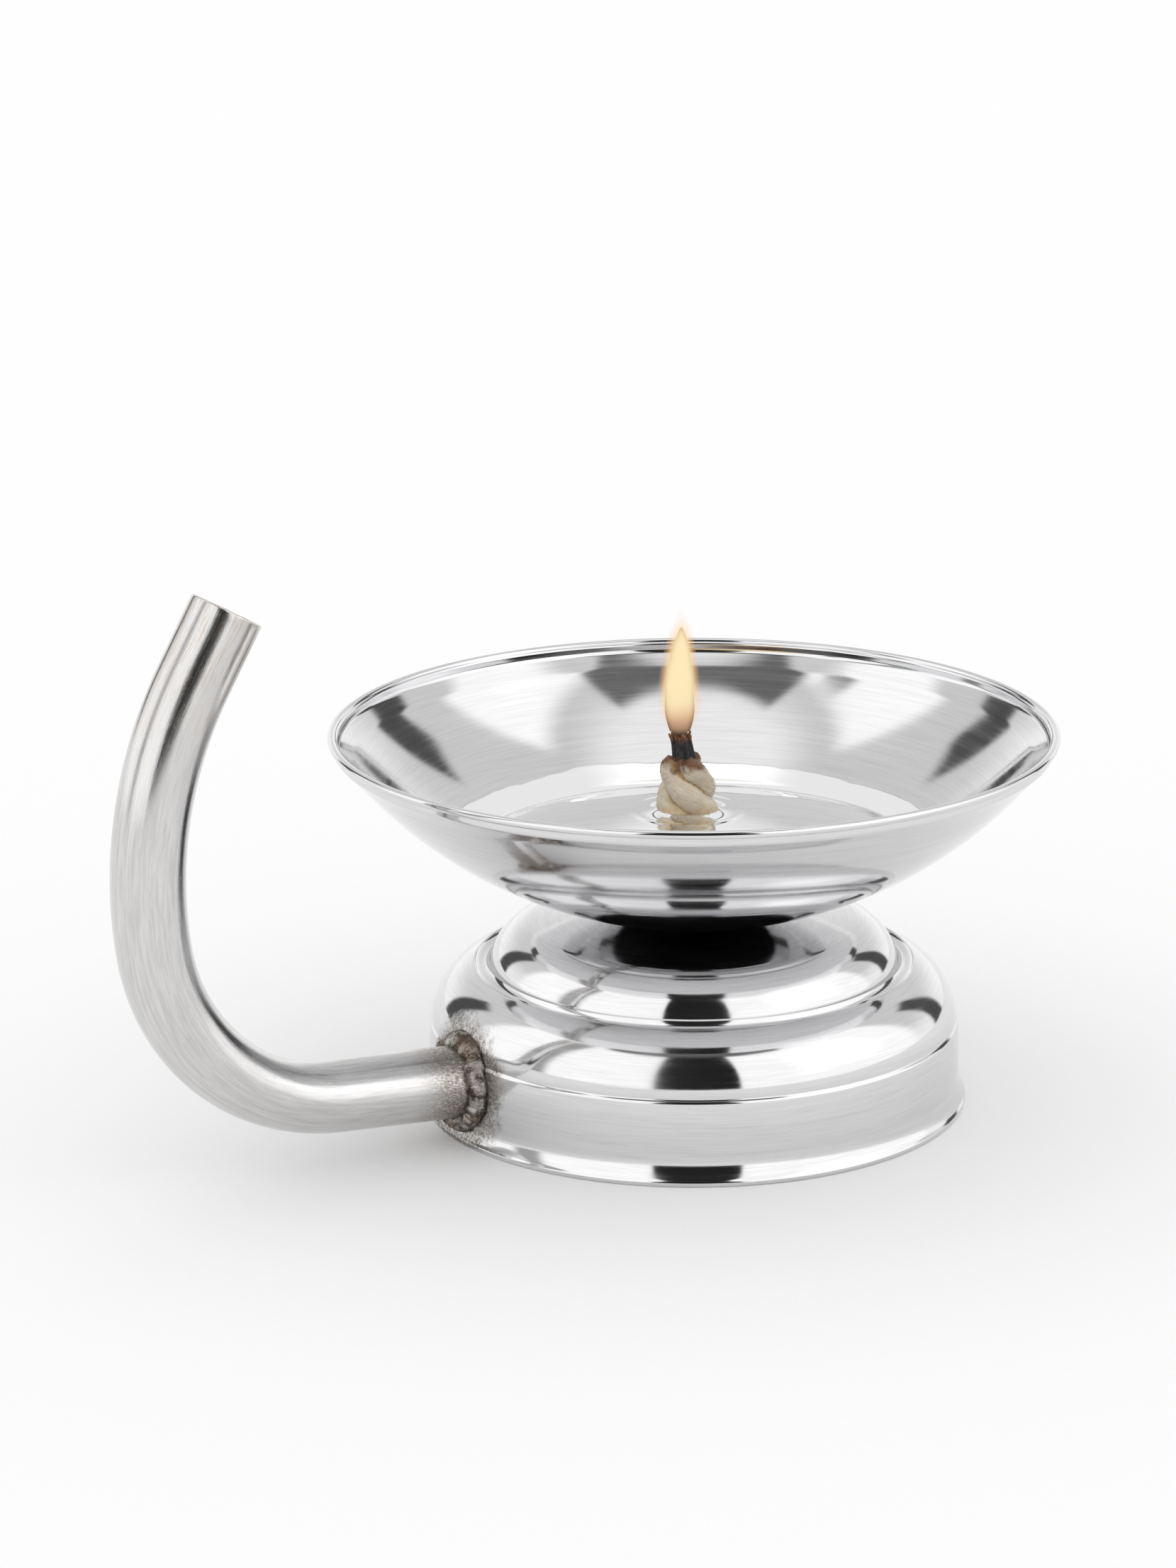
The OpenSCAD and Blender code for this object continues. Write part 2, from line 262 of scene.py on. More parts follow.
def handle_place(s):
    """Distance out, height and rise in radians of the middle of the tube, s along it."""
    out, z, rise = WALL_R, HANDLE_Z, math.radians(HANDLE_RISE)
    step = min(s, STRAIGHT_L)
    out, z, s = out + step * math.cos(rise), z + step * math.sin(rise), s - step
    for radius, bend in (LOWER_BEND, UPPER_BEND):
        turn = min(max(s, 0) / radius, math.radians(bend))
        cx, cz = out - radius * math.sin(rise), z + radius * math.cos(rise)
        rise += turn
        out, z, s = cx + radius * math.sin(rise), cz - radius * math.cos(rise), s - turn * radius
    if s > 0:
        out, z = out + s * math.cos(rise), z + s * math.sin(rise)
    return out, z, rise


def handle_length():
    return STRAIGHT_L + END_L + sum(r * math.radians(a) for r, a in (LOWER_BEND, UPPER_BEND))


def handle_point(s, turn, radius):
    """A point at a turn round the tube; turn 0 is the side that the handle bends towards."""
    out, z, rise = handle_place(s)
    up = radius * math.cos(turn)
    return np.array((-(out - up * math.sin(rise)), radius * math.sin(turn), z + up * math.cos(rise)))


def on_foot(turn, radius):
    """How far along the tube a line at this turn and radius leaves the foot."""
    low, high = -4.0, 6.0
    rise = math.radians(HANDLE_RISE)
    for _ in range(30):
        s = (low + high) / 2
        out = WALL_R + s * math.cos(rise)
        z = HANDLE_Z + s * math.sin(rise) + radius * math.cos(turn) * math.cos(rise)
        x = out - radius * math.cos(turn) * math.sin(rise)
        if math.hypot(x, radius * math.sin(turn)) < foot_radius(z):
            low = s
        else:
            high = s
    return low


def bent_tube(name, sides=96):
    turns = np.linspace(0, 2 * math.pi, sides, endpoint=False)
    length = handle_length()
    starts = {r: [on_foot(a, r) - 0.15 for a in turns] for r in (TUBE_R, TUBE_R - TUBE_WALL)}
    stations = np.concatenate([np.linspace(4, STRAIGHT_L, 10), np.linspace(STRAIGHT_L, length, 88)[1:-1]])
    burr = 0.10 * waves(turns, 5, 7, 40) + 0.06 * waves(turns, 6, 25, 60)
    burr_in = 0.12 * waves(turns, 8, 5, 34)
    rings, places = [], []

    def ring(along, radius):
        rings.append([handle_point(s, a, r) for s, a, r in zip(along, turns, radius)])
        places.append([(math.cos(a), math.sin(a), s * MM * 100) for s, a in zip(along, turns)])

    def skin(radius, outside):
        walls = [[s0 + (4 - s0) * k / 5 for s0 in starts[radius]] for k in range(5)]
        body = [[s] * sides for s in stations]
        for along in (walls + body) if outside else (walls + body)[::-1]:
            wide = np.full(sides, radius)
            if outside:
                # where the lower bend was drawn, its inner side is a little flat
                pinch = math.exp(-((along[0] - 27.5) / 7.5) ** 2)
                wide = wide - 0.42 * pinch * np.exp(-((np.mod(turns + math.pi,
                                                              2 * math.pi) - math.pi) / 0.55) ** 2)
            ring(along, wide)

    skin(TUBE_R, True)
    ring(length - 0.22 + 0 * burr, np.full(sides, TUBE_R))
    ring(length - 0.10 + 0.4 * burr, np.full(sides, TUBE_R) - 0.02)
    ring(length - 0.02 + burr * 0.6, np.full(sides, TUBE_R - 0.14))
    ring(length - 0.03 + 0.5 * burr_in, np.full(sides, TUBE_R - TUBE_WALL + 0.16) + burr_in)
    ring(length - 0.14 + 0.5 * burr_in, np.full(sides, TUBE_R - TUBE_WALL) + 0.6 * burr_in)
    ring(length - 0.45 + 0 * burr, np.full(sides, TUBE_R - TUBE_WALL))
    skin(TUBE_R - TUBE_WALL, False)
    points = [p for r in rings for p in r]
    numbers = [range(k * sides, (k + 1) * sides) for k in range(len(rings))]
    piece = solid(name, points, joined(numbers + numbers[:1]), merge=1e-9)
    place = piece.data.attributes.new("tube_place", "FLOAT_VECTOR", "POINT")
    place.data.foreach_set("vector", np.array(places, float).ravel())
    return piece


def weld_bead(name, around=240, across=14):
    """A lumpy fillet that fills the corner between the tube and the foot."""
    turns = np.linspace(0, 2 * math.pi, around, endpoint=False)
    drops = np.abs(np.sin(15 * turns + 1.3 * waves(turns, 3, 2, 6)))
    leg_foot = WELD_LEG * (0.90 + 0.10 * waves(turns, 11, 3, 22))
    leg_tube = WELD_LEG * (0.78 + 0.22 * waves(turns, 12, 2, 18))
    heave = 0.32 + 0.30 * drops + 0.22 * waves(turns, 13, 6, 40)
    rings = []
    for a, foot, tube, rise in zip(turns, leg_foot, leg_tube, heave):
        corner = on_foot(a, TUBE_R)
        low = handle_point(on_foot(a, TUBE_R + foot), a, TUBE_R + foot)
        top = handle_point(corner + tube, a, TUBE_R)
        inner = handle_point(corner, a, TUBE_R)
        middle = (low + top) / 2 - inner
        outward = middle / np.linalg.norm(middle)
        row = [handle_point(corner - 0.35, a, TUBE_R + foot * 0.8), low - 0.12 * outward]
        for t in np.linspace(0, 1, across)[1:-1]:
            row.append(low + (top - low) * t + outward * rise * (4 * t * (1 - t)) ** 0.8)
        row += [top - 0.12 * outward, handle_point(corner - 0.3, a, TUBE_R - 0.3)]
        rings.append(row)
    count = len(rings[0])
    loops = [[k * count + j for k in range(around)] for j in range(count)]
    return solid(name, [p for r in rings for p in r], joined(loops + loops[:1]))


# Oil

def oil_body(name, around=360, across=150):
    """Oil up to its ragged film on the wall of the dish, with a raised ring round the wick."""
    inner = BOWL_R - SHEET
    turns = np.linspace(0, 2 * math.pi, around, endpoint=False)
    edge = FILM_R + 0.75 * waves(turns, 21, 2, 9) + 0.28 * waves(turns, 22, 12, 60)
    radii = np.linspace(0, 1, across)[1:] ** 0.92
    top = [(0, 0, OIL_Z)]
    low = [(0, 0, BOWL_CZ - inner - 0.25)]
    for t in radii:
        r = t * (edge + 0.25)
        wall = BOWL_CZ - np.sqrt(inner ** 2 - r ** 2)
        thin = 0.05 + 0.16 * np.clip((edge - r) / 2.5, 0, 1) ** 0.7
        thin = np.where(r > edge, 0.05 - 0.35 * (r - edge) / 0.25, thin)
        film = wall + thin
        gap = np.clip(0.5 + 0.5 * (film - OIL_Z) / 0.55, 0, 1)
        height = OIL_Z * (1 - gap) + film * gap + 0.55 * gap * (1 - gap) * 0.5
        x, y = r * np.cos(turns), r * np.sin(turns)
        far = np.hypot(x - WICK.x, y - WICK.y)
        swell = 0.55 * np.exp(-np.clip(far - WICK_R, 0, None) / 0.85)
        ripple = 0.05 * np.exp(-((far - WICK_R - 2.9) / 0.55) ** 2)
        well = np.clip((WICK_R - 0.5 - far) / 1.0, 0, 1)
        height = height + np.where(r < SHORE_R, swell + ripple - 1.2 * well, 0)
        top += list(zip(x, y, height))
        low += list(zip(x, y, wall - 0.22))
    count = len(top)
    rings = [[0]] + [range(1 + k * around, 1 + (k + 1) * around) for k in range(len(radii))]
    under = [[n + count for n in ring] for ring in rings]
    return solid(name, top + low, joined(rings + under[::-1]))


# Flame

def flame_width(z):
    if z < FLAME_BELLY:
        return FLAME_R * (0.7 + 0.3 * math.sin(math.pi / 2 * z / FLAME_BELLY))
    return FLAME_R * (1 - ((z - FLAME_BELLY) / (FLAME_H - FLAME_BELLY)) ** 2) ** 0.75


def flame_shells(name, shells=9, around=48, up=40):
    """Thin skins one inside another; each lets light through, so the edge fades."""
    foot = WICK + TIP_LEAN * Vector((math.cos(WICK_LEAN), math.sin(WICK_LEAN), 0))
    points, faces, veil = [], [], []
    for n in range(shells):
        depth = n / (shells - 1)
        wide = 1.0 - 0.62 * depth
        high = 1.0 - 0.30 * depth
        lift = 0.9 * depth
        levels = (1 - np.cos(np.linspace(0, math.pi, up))) / 2
        rings = []
        for t in levels:
            z = t * FLAME_H * high
            r = wide * flame_width(t * FLAME_H) if 0 < t < 1 else 0
            sway = 0.35 * math.sin(1.6 * math.pi * t) * t
            middle = (foot.x - 0.5 * sway, foot.y + 0.3 * sway,
                      TIP_TOP_Z - 0.2 + lift + z * (1 - lift / FLAME_H))
            if r == 0:
                rings.append([len(points)])
                points.append(middle)
                veil.append(depth)
                continue
            rings.append(range(len(points), len(points) + around))
            for a in np.linspace(0, 2 * math.pi, around, endpoint=False):
                points.append((middle[0] + r * math.cos(a), middle[1] + r * math.sin(a), middle[2]))
                veil.append(depth)
        faces += joined(rings)
    piece = solid(name, points, faces, merge=1e-10)
    kept = piece.data.attributes.new("depth", "FLOAT", "POINT")
    kept.data.foreach_set("value", np.array(veil, float))
    return piece


# Node helpers, for finishes and for grown pieces

def add(tree, kind, inputs=None, **settings):
    made = tree.nodes.new(kind)
    for key, value in settings.items():
        setattr(made, key, value)
    for key, value in (inputs or {}).items():
        if isinstance(value, bpy.types.NodeSocket):
            tree.links.new(value, made.inputs[key])
        else:
            made.inputs[key].default_value = value
    return made


def sums(tree, operation, *values, clamp=False):
    return add(tree, "ShaderNodeMath", dict(enumerate(values)), operation=operation,
               use_clamp=clamp).outputs[0]


def ramped(tree, value, low, high, to_low=0.0, to_high=1.0):
    inputs = {"Value": value, "From Min": low, "From Max": high, "To Min": to_low, "To Max": to_high}
    return add(tree, "ShaderNodeMapRange", inputs, interpolation_type="SMOOTHSTEP").outputs["Result"]


def blended(tree, factor, a, b, blend="MIX"):
    made = add(tree, "ShaderNodeMix", {0: factor, 6: a, 7: b}, data_type="RGBA", blend_type=blend)
    return made.outputs[2]


def packed(tree, x, y, z):
    return add(tree, "ShaderNodeCombineXYZ", {0: x, 1: y, 2: z}).outputs[0]


def split(tree, vector):
    return add(tree, "ShaderNodeSeparateXYZ", {0: vector}).outputs


def cloud(tree, vector, scale, detail=2.0, rough=0.5, w=None):
    """Soft noise from 0 to 1; with w it is drawn in four dimensions."""
    made = add(tree, "ShaderNodeTexNoise", noise_dimensions="3D" if w is None else "4D")
    inputs = {"Vector": vector, "Scale": scale, "Detail": detail, "Roughness": rough}
    if w is not None:
        inputs["W"] = w
    for key, value in inputs.items():
        if isinstance(value, bpy.types.NodeSocket):
            tree.links.new(value, made.inputs[key])
        else:
            made.inputs[key].default_value = value
    return made.outputs["Fac"]


def finish_tree(name):
    material = bpy.data.materials.new(name)
    material.use_nodes = True
    tree = material.node_tree
    tree.nodes.clear()
    return material, tree


def shell(tree, inputs):
    """The surface shader of a finish, joined to the output."""
    surface = add(tree, "ShaderNodeBsdfPrincipled", inputs)
    out = add(tree, "ShaderNodeOutputMaterial", {"Surface": surface.outputs[0]})
    return surface, out


def colour(r, g, b):
    return (r, g, b, 1.0)


# Finishes

def spun_steel(name, patch=False):
    """Polished sheet with fine turning lines round the axis, faint haze and rubbed spots."""
    material, tree = finish_tree(name)
    place = add(tree, "ShaderNodeTexCoord").outputs["Object"]
    x, y, z = split(tree, place)
    r = sums(tree, "SQRT", sums(tree, "ADD", sums(tree, "MULTIPLY", x, x), sums(tree, "MULTIPLY", y, y)))
    safe = sums(tree, "MAXIMUM", r, 0.0002)
    ux, uy = sums(tree, "DIVIDE", x, safe), sums(tree, "DIVIDE", y, safe)
    fine = cloud(tree, packed(tree, sums(tree, "MULTIPLY", ux, 5.0), sums(tree, "MULTIPLY", uy, 5.0),
                              sums(tree, "MULTIPLY", r, 9000.0)), 1.0, 2.0, 0.6, sums(tree, "MULTIPLY", z,
                                                                                      9000.0))
    broad = cloud(tree, packed(tree, sums(tree, "MULTIPLY", ux, 2.2), sums(tree, "MULTIPLY", uy, 2.2),
                               sums(tree, "MULTIPLY", r, 1300.0)), 1.0, 3.0, 0.6, sums(tree, "MULTIPLY", z,
                                                                                       1300.0))
    haze = cloud(tree, place, 60.0, 3.0, 0.6)
    tone = blended(tree, ramped(tree, fine, 0.3, 0.7), colour(0.64, 0.64, 0.65), colour(0.73, 0.73, 0.735))
    tone = blended(tree, ramped(tree, broad, 0.35, 0.7, 0.0, 0.5), tone, colour(0.76, 0.76, 0.765))
    gloss = sums(tree, "ADD", ramped(tree, broad, 0.3, 0.75, 0.055, 0.11),
                 ramped(tree, haze, 0.45, 0.75, 0.0, 0.05))
    height = sums(tree, "ADD", sums(tree, "MULTIPLY", fine, 0.5), sums(tree, "MULTIPLY", broad, 1.2))
    if patch:
        spot = add(tree, "ShaderNodeVectorMath", {0: place, 1: (-WALL_R * MM, 0, (HANDLE_Z - 0.6) * MM)},
                   operation="DISTANCE").outputs["Value"]
        ragged = cloud(tree, place, 420.0, 4.0, 0.7)
        reach = sums(tree, "ADD", spot, sums(tree, "MULTIPLY", sums(tree, "SUBTRACT", ragged, 0.5), 0.007))
        ground = ramped(tree, reach, 0.0105, 0.0075)
        speck = cloud(tree, place, 2600.0, 3.0, 0.7)
        rubbed = blended(tree, ramped(tree, speck, 0.4, 0.62), colour(0.20, 0.185, 0.17),
                         colour(0.55, 0.53, 0.51))
        tone = blended(tree, ground, tone, rubbed)
        gloss = sums(tree, "ADD", gloss, sums(tree, "MULTIPLY", ground, 0.26))
        height = sums(tree, "ADD", height, sums(tree, "MULTIPLY", sums(tree, "MULTIPLY", speck, ground),
                                                14.0))
    bump = add(tree, "ShaderNodeBump", {"Height": height, "Strength": 1.0, "Distance": 1.0e-6}).outputs[0]
    shell(tree, {"Base Color": tone, "Metallic": 1.0, "Roughness": gloss, "Normal": bump})
    return material


def tube_steel(name):
    """Drawn tube: streaks along it, dull haze, heat colour at the weld and at the cut end."""
    material, tree = finish_tree(name)
    place = add(tree, "ShaderNodeAttribute", attribute_name="tube_place").outputs["Vector"]
    cx, cy, along = split(tree, place)
    streaks = cloud(tree, packed(tree, sums(tree, "MULTIPLY", cx, 14.0), sums(tree, "MULTIPLY", cy, 14.0),
                                 sums(tree, "MULTIPLY", along, 1.6)), 1.0, 4.0, 0.65)
    fine = cloud(tree, packed(tree, sums(tree, "MULTIPLY", cx, 70.0), sums(tree, "MULTIPLY", cy, 70.0),
                              sums(tree, "MULTIPLY", along, 5.0)), 1.0, 3.0, 0.6)
    flecks = cloud(tree, packed(tree, sums(tree, "MULTIPLY", cx, 26.0), sums(tree, "MULTIPLY", cy, 26.0),
                                sums(tree, "MULTIPLY", along, 24.0)), 1.0, 4.0, 0.7)
    tone = blended(tree, ramped(tree, streaks, 0.3, 0.7), colour(0.56, 0.55, 0.545),
                   colour(0.70, 0.695, 0.69))
    tone = blended(tree, ramped(tree, fine, 0.45, 0.75, 0.0, 0.6), tone, colour(0.78, 0.775, 0.77))
    total = handle_length() * MM * 100
    heat = ramped(tree, along, 0.95, 0.25)
    heat = sums(tree, "MULTIPLY", heat, ramped(tree, flecks, 0.3, 0.62))
    tone = blended(tree, heat, tone, colour(0.26, 0.21, 0.17))
    end = sums(tree, "MULTIPLY", ramped(tree, along, total - 3.0, total),
               ramped(tree, streaks, 0.5, 0.62, 0.0, 0.7))
    tone = blended(tree, end, tone, colour(0.50, 0.40, 0.30))
    gloss = sums(tree, "ADD", ramped(tree, streaks, 0.3, 0.75, 0.15, 0.24),
                 ramped(tree, flecks, 0.5, 0.8, 0.0, 0.10))
    gloss = sums(tree, "ADD", gloss, sums(tree, "MULTIPLY", heat, 0.2))
    height = sums(tree, "ADD", sums(tree, "MULTIPLY", streaks, 3.0),
                  sums(tree, "ADD", fine, sums(tree, "MULTIPLY", flecks, 0.8)))
    bump = add(tree, "ShaderNodeBump", {"Height": height, "Strength": 1.0, "Distance": 3.0e-6}).outputs[0]
    shell(tree, {"Base Color": tone, "Metallic": 1.0, "Roughness": gloss, "Normal": bump})
    return material


def weld_metal(name):
    """Rough run of weld: dark scale in the hollows, bare bright metal on the high drops."""
    material, tree = finish_tree(name)
    place = add(tree, "ShaderNodeTexCoord").outputs["Object"]
    lumps = cloud(tree, place, 700.0, 4.0, 0.7)
    grit = cloud(tree, place, 3200.0, 3.0, 0.7)
    burn = cloud(tree, place, 260.0, 2.0, 0.5)
    tone = blended(tree, ramped(tree, lumps, 0.40, 0.62), colour(0.07, 0.055, 0.045),
                   colour(0.46, 0.43, 0.40))
    tone = blended(tree, ramped(tree, burn, 0.45, 0.65, 0.0, 0.55), tone, colour(0.22, 0.15, 0.10))
    tone = blended(tree, ramped(tree, grit, 0.55, 0.72, 0.0, 0.6), tone, colour(0.70, 0.68, 0.65))
    gloss = ramped(tree, lumps, 0.35, 0.7, 0.55, 0.26)
    height = sums(tree, "ADD", sums(tree, "MULTIPLY", lumps, 1.0), sums(tree, "MULTIPLY", grit, 0.35))
    bump = add(tree, "ShaderNodeBump", {"Height": height, "Strength": 0.9, "Distance": 2.2e-4}).outputs[0]
    shell(tree, {"Base Color": tone, "Metallic": 0.92, "Roughness": gloss, "Normal": bump})
    return material


def golden_oil(name):
    material, tree = finish_tree(name)
    place = add(tree, "ShaderNodeTexCoord").outputs["Object"]
    swirl = cloud(tree, place, 90.0, 3.0, 0.5)
    tone = blended(tree, ramped(tree, swirl, 0.35, 0.7), colour(1.0, 0.985, 0.95), colour(0.97, 0.94, 0.87))
    bump = add(tree, "ShaderNodeBump", {"Height": swirl, "Strength": 1.0, "Distance": 2.0e-5}).outputs[0]
    surface, out = shell(tree, {"Base Color": tone, "Roughness": 0.015, "IOR": 1.47,
                                "Transmission Weight": 1.0, "Normal": bump})
    depth = add(tree, "ShaderNodeVolumeAbsorption", {"Color": colour(0.92, 0.72, 0.30), "Density": 62.0})
    tree.links.new(depth.outputs[0], out.inputs["Volume"])
    return material


def cotton(name):
    """Bleached cotton, gold where oil has soaked in, painted shade in the grooves between the plies, singed at the
    top.
    """
    material, tree = finish_tree(name)
    place = add(tree, "ShaderNodeTexCoord").outputs["Object"]
    fibre = add(tree, "ShaderNodeAttribute", attribute_name="fibre_place").outputs["Vector"]
    # the groove attribute is a painted-shade mask: the inner faces of the plies, where they press together
    groove = add(tree, "ShaderNodeAttribute", attribute_name="groove").outputs["Fac"]
    z = split(tree, place)[2]
    u, v, t = split(tree, fibre)
    strands = cloud(tree, packed(tree, sums(tree, "MULTIPLY", u, 9.0), sums(tree, "MULTIPLY", v, 9.0),
                                 sums(tree, "MULTIPLY", t, 14.0)), 1.0, 4.0, 0.7)
    threads = cloud(tree, packed(tree, sums(tree, "MULTIPLY", u, 24.0), sums(tree, "MULTIPLY", v, 24.0),
                                 sums(tree, "MULTIPLY", t, 26.0)), 1.0, 3.0, 0.7)
    blotch = cloud(tree, place, 500.0, 3.0, 0.6)
    tone = blended(tree, ramped(tree, strands, 0.3, 0.7), colour(0.66, 0.54, 0.37),
                   colour(0.84, 0.75, 0.60))
    tone = blended(tree, ramped(tree, threads, 0.45, 0.75, 0.0, 0.6), tone, colour(0.93, 0.87, 0.76))
    # painted shade: darker gold-brown in the grooves between the plies, broken up by noise
    crevice_shade = sums(tree, "ADD", groove, sums(tree, "MULTIPLY", sums(tree, "SUBTRACT", blotch, 0.5), 0.5))
    tone = blended(tree, ramped(tree, crevice_shade, 0.45, 0.95, 0.0, 0.9), tone, colour(0.50, 0.30, 0.075))
    wet = sums(tree, "ADD", z, sums(tree, "MULTIPLY", sums(tree, "SUBTRACT", blotch, 0.5), 0.004))
    soaked = ramped(tree, wet, (OIL_Z + 1.6) * MM, (OIL_Z - 0.2) * MM, 0.0, 0.75)
    tone = blended(tree, soaked, tone, colour(0.60, 0.40, 0.12))
    singe = ramped(tree, wet, (PLY_TOP_Z - 1.7) * MM, (PLY_TOP_Z - 0.2) * MM)
    tone = blended(tree, singe, tone, colour(0.20, 0.085, 0.03))
    height = sums(tree, "ADD", strands, sums(tree, "MULTIPLY", threads, 0.6))
    bump = add(tree, "ShaderNodeBump", {"Height": height, "Strength": 0.8, "Distance": 1.6e-4}).outputs[0]
    gloss = ramped(tree, soaked, 0.0, 0.7, 0.85, 0.45)
    shell(tree, {"Base Color": tone, "Roughness": gloss, "Normal": bump, "Sheen Weight": 0.35,
                 "Subsurface Weight": 0.25, "Subsurface Radius": (0.0012, 0.0008, 0.0005)})
    return material


def charred_cotton(name):
    material, tree = finish_tree(name)
    place = add(tree, "ShaderNodeTexCoord").outputs["Object"]
    z = split(tree, place)[2]
    grit = cloud(tree, place, 1800.0, 4.0, 0.7)
    wander = sums(tree, "ADD", z, sums(tree, "MULTIPLY", sums(tree, "SUBTRACT", grit, 0.5), 0.0016))
    tone = blended(tree, ramped(tree, grit, 0.35, 0.7), colour(0.010, 0.009, 0.010),
                   colour(0.045, 0.038, 0.042))
    top = ramped(tree, wander, (TIP_TOP_Z - 1.5) * MM, (TIP_TOP_Z - 0.1) * MM)
    tone = blended(tree, top, tone, colour(0.30, 0.13, 0.055))
    low = ramped(tree, wander, (PLY_TOP_Z + 0.55) * MM, (PLY_TOP_Z - 0.25) * MM)
    tone = blended(tree, low, tone, colour(0.24, 0.10, 0.035))
    bump = add(tree, "ShaderNodeBump", {"Height": grit, "Strength": 0.9, "Distance": 1.5e-4}).outputs[0]
    shell(tree, {"Base Color": tone, "Roughness": 0.75, "Normal": bump, "Sheen Weight": 0.15})
    return material


def flame_light(name):
    """Pale yellow in the middle, orange outwards and peach where it thins out at the wick."""
    material, tree = finish_tree(name)
    place = add(tree, "ShaderNodeTexCoord").outputs["Object"]
    depth = add(tree, "ShaderNodeAttribute", attribute_name="depth").outputs["Fac"]
    z = split(tree, place)[2]
    flow = cloud(tree, place, 160.0, 2.0, 0.5)
    up = sums(tree, "ADD", z, sums(tree, "MULTIPLY", sums(tree, "SUBTRACT", flow, 0.5), 0.0015))
    core = blended(tree, ramped(tree, depth, 0.0, 0.55), colour(1.0, 0.55, 0.22), colour(1.0, 0.93, 0.60))
    base = ramped(tree, up, (TIP_TOP_Z + 5.2) * MM, (TIP_TOP_Z + 1.0) * MM)
    glow = blended(tree, base, core, colour(1.0, 0.62, 0.38))
    thick = ramped(tree, depth, 0.0, 1.0, 0.07, 0.55)
    fade = ramped(tree, up, (TIP_TOP_Z - 0.1) * MM, (TIP_TOP_Z + 6.5) * MM, 0.12, 1.0)
    tip = ramped(tree, up, (TIP_TOP_Z + FLAME_H) * MM, (TIP_TOP_Z + FLAME_H - 5.0) * MM, 0.25, 1.0)
    alpha = sums(tree, "MULTIPLY", sums(tree, "MULTIPLY", thick, fade), tip)
    shell(tree, {"Base Color": colour(0, 0, 0), "Roughness": 1.0, "Specular IOR Level": 0.0,
                 "Emission Color": glow, "Emission Strength": 1.0, "Alpha": alpha})
    return material


def matt_floor(name):
    material, tree = finish_tree(name)
    place = add(tree, "ShaderNodeTexCoord").outputs["Object"]
    tooth = cloud(tree, place, 900.0, 2.0, 0.5)
    tone = blended(tree, tooth, colour(0.985, 0.985, 0.985), colour(1.0, 1.0, 1.0))
    shell(tree, {"Base Color": tone, "Roughness": 1.0, "Specular IOR Level": 0.0})
    return material


# Grown pieces: plies, loose fibres and the charred bundle

def new_growth(name, sockets):
    tree = bpy.data.node_groups.new(name, "GeometryNodeTree")
    tree.interface.new_socket("Geometry", in_out="INPUT", socket_type="NodeSocketGeometry")
    for label, kind in sockets:
        tree.interface.new_socket(label, in_out="INPUT", socket_type="NodeSocket" + kind)
    tree.interface.new_socket("Geometry", in_out="OUTPUT", socket_type="NodeSocketGeometry")
    return tree, add(tree, "NodeGroupInput").outputs


def close_growth(tree, shape, material):
    shape = add(tree, "GeometryNodeRealizeInstances", {0: shape}).outputs[0]
    shape = add(tree, "GeometryNodeSetShadeSmooth", {0: shape}).outputs[0]
    shape = add(tree, "GeometryNodeSetMaterial", {"Geometry": shape, "Material": material}).outputs[0]
    add(tree, "NodeGroupOutput", {0: shape})


def grown(name, tree, values, start=None):
    mesh = start.data.copy() if start else bpy.data.meshes.new(name)
    piece = bpy.data.objects.new(name, mesh)
    bpy.context.scene.collection.objects.link(piece)
    grow = piece.modifiers.new("grow", "NODES")
    grow.node_group = tree
    for item in tree.interface.items_tree:
        if item.in_out == "INPUT" and item.name in values:
            grow[item.identifier] = values[item.name]
    seen = bpy.context.evaluated_depsgraph_get()
    result = bpy.data.meshes.new_from_object(piece.evaluated_get(seen), preserve_all_data_layers=True,
                                             depsgraph=seen)
    piece.modifiers.remove(grow)
    piece.data = result
    result.name = name
    return piece


def at_wick(tree, shape):
    return add(tree, "GeometryNodeTransform", {"Geometry": shape, "Translation": WICK * MM,
                                               "Rotation": (0, 0, WICK_LEAN)}).outputs[0]


def lean_at(tree, z):
    """How far the middle of the wick leans over at height z."""
    t = sums(tree, "DIVIDE", sums(tree, "SUBTRACT", z, OIL_Z * MM), (TIP_TOP_Z - OIL_Z) * MM)
    return sums(tree, "MULTIPLY", sums(tree, "POWER", sums(tree, "MAXIMUM", t, 0.0), 1.6), TIP_LEAN * MM)


